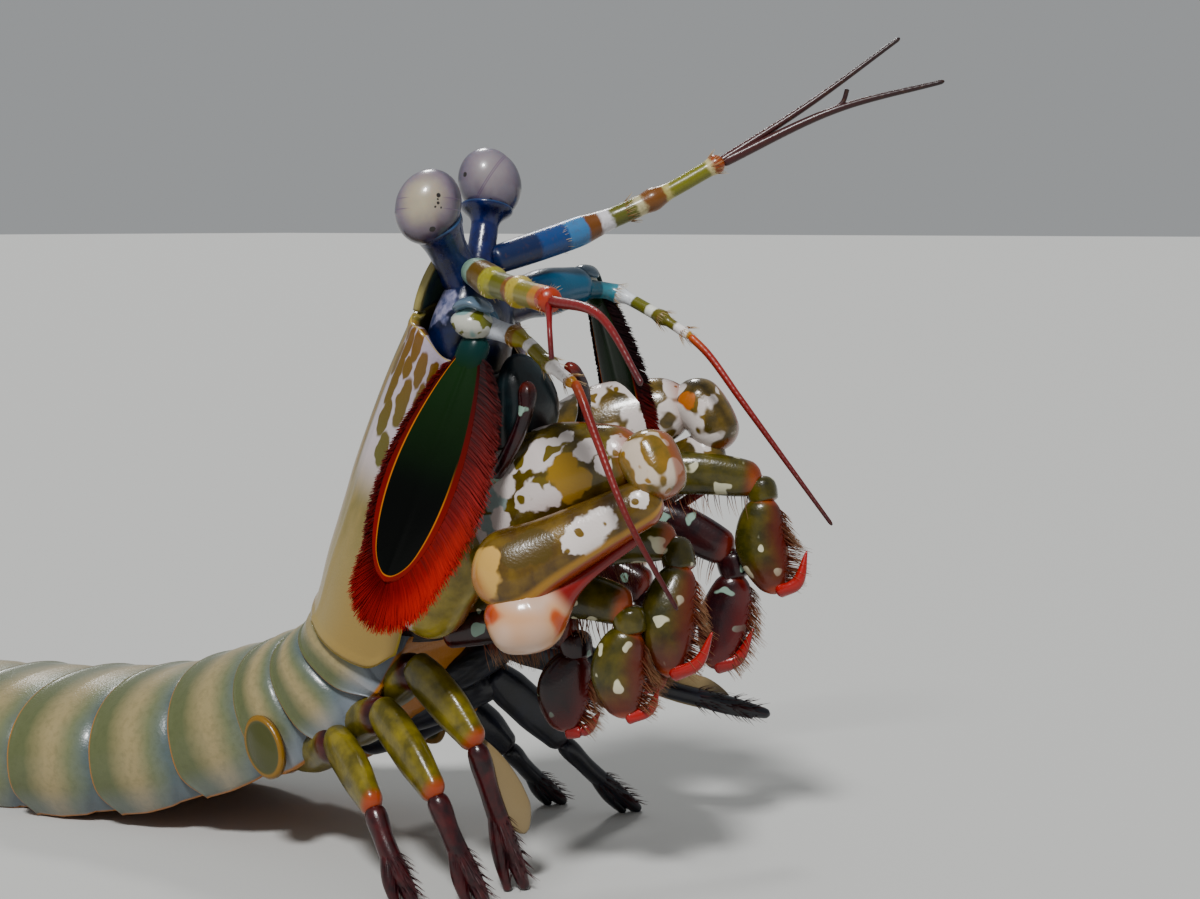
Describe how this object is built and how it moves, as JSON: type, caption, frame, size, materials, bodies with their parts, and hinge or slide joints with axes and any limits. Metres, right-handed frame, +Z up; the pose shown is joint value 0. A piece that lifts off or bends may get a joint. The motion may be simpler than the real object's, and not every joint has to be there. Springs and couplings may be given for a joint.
{
  "type": "mantis shrimp",
  "caption": "Still life-size mantis shrimp, front body reared on its walking legs with claws folded, stalked eyes raised and the tail laid flat behind.",
  "frame": {"origin": "middle of the outline seen from above, on the floor that the feet and tail rest on", "axes": "+X the way the animal heads, +Y its left, +Z up"},
  "size_m": [0.1464, 0.0654, 0.0839],
  "materials": {
    "shell_olive": "glossy olive-tan shell",
    "telson_green": "glossy green shell",
    "body_cream": "satin cream and rust skin",
    "blue_shell": "glossy ultramarine shell",
    "cornea": "smooth wet lilac grey",
    "scale_green": "glossy black-green blade with a red fringe",
    "feeler_olive": "satin banded olive, white and orange",
    "feeler_white": "satin banded white and olive",
    "club_red": "glossy red",
    "claw_mottled": "glossy olive with white patches",
    "leg_maroon": "glossy maroon-black with olive and white spots",
    "fan_blue": "glossy blue with a red fringe"
  },
  "bodies": {
    "root": {"abdomen_1": "shell_olive", "abdomen_2": "shell_olive", "abdomen_3": "shell_olive", "abdomen_4": "shell_olive", "abdomen_5": "shell_olive", "abdomen_6": "shell_olive", "antenna_left": "feeler_white", "antenna_right": "feeler_white", "antennal_scale_left": "scale_green", "antennal_scale_right": "scale_green", "antennule_left": "feeler_olive", "antennule_right": "feeler_olive", "carapace": "shell_olive", "claw_arm_left": "claw_mottled", "claw_arm_right": "claw_mottled", "claw_club_left": "club_red", "claw_club_right": "club_red", "claw_hand_left": "claw_mottled", "claw_hand_right": "claw_mottled", "claw_wrist_left": "claw_mottled", "claw_wrist_right": "claw_mottled", "eye_left": "cornea", "eye_right": "cornea", "eye_stalk_left": "blue_shell", "eye_stalk_right": "blue_shell", "head": "blue_shell", "maxilliped_1_left": "leg_maroon", "maxilliped_1_right": "leg_maroon", "maxilliped_3_left": "leg_maroon", "maxilliped_3_right": "leg_maroon", "maxilliped_4_left": "leg_maroon", "maxilliped_4_right": "leg_maroon", "maxilliped_5_left": "leg_maroon", "maxilliped_5_right": "leg_maroon", "mouthparts": "body_cream", "pleopod_left_1": "leg_maroon", "pleopod_left_2": "leg_maroon", "pleopod_left_3": "leg_maroon", "pleopod_left_4": "leg_maroon", "pleopod_left_5": "leg_maroon", "pleopod_right_1": "leg_maroon", "pleopod_right_2": "leg_maroon", "pleopod_right_3": "leg_maroon", "pleopod_right_4": "leg_maroon", "pleopod_right_5": "leg_maroon", "rostral_plate": "shell_olive", "telson": "telson_green", "thorax_6": "shell_olive", "thorax_7": "shell_olive", "thorax_8": "shell_olive", "trunk": "body_cream", "uropod_left": "fan_blue", "uropod_right": "fan_blue", "walking_leg_1_left": "leg_maroon", "walking_leg_1_right": "leg_maroon", "walking_leg_2_left": "leg_maroon", "walking_leg_2_right": "leg_maroon", "walking_leg_3_left": "leg_maroon", "walking_leg_3_right": "leg_maroon"}
  },
  "joints": []
}
